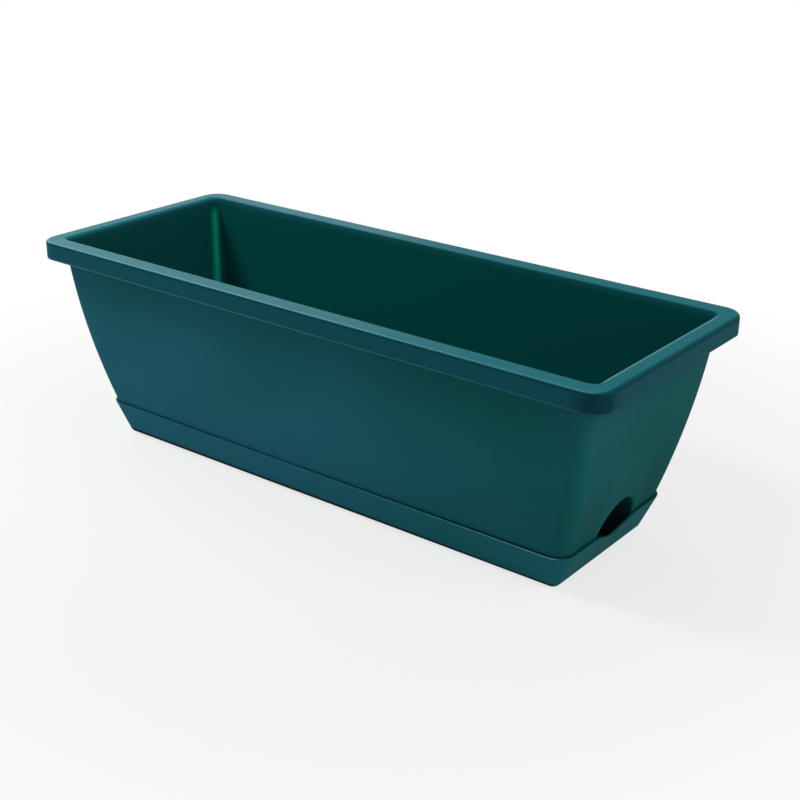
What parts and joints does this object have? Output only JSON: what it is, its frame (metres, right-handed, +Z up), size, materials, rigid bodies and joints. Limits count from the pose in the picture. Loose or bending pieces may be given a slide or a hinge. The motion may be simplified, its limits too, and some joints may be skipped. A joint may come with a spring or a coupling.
{
  "type": "planter",
  "caption": "Long rectangular vegetable planter: tapered plastic trough with turned-down rim, water tray with fill arches at both ends, lift-out drain grid.",
  "frame": {"origin": "middle of the tray's underside, on the surface that the planter stands on", "axes": "+X along the length, +Y across the width, +Z up; the long side at -Y is the front"},
  "size_m": [0.5, 0.194, 0.162],
  "materials": {
    "pot_plastic": "satin moulded polypropylene, dark teal green",
    "tray_plastic": "satin moulded polypropylene, dark teal green",
    "grid_plastic": "matte moulded polypropylene, dark green"
  },
  "bodies": {
    "tray": {"water_tray": "tray_plastic"},
    "pot": {"planter_pot": "pot_plastic"},
    "grid": {"drain_grid": "grid_plastic"}
  },
  "joints": [
    {"name": "pot_lift", "type": "slide", "parent": "tray", "child": "pot", "axis": [0, 0, 1], "range_m": [0, 0.05]},
    {"name": "grid_lift", "type": "slide", "parent": "pot", "child": "grid", "axis": [0, 0, 1], "range_m": [0, 0.16]}
  ]
}
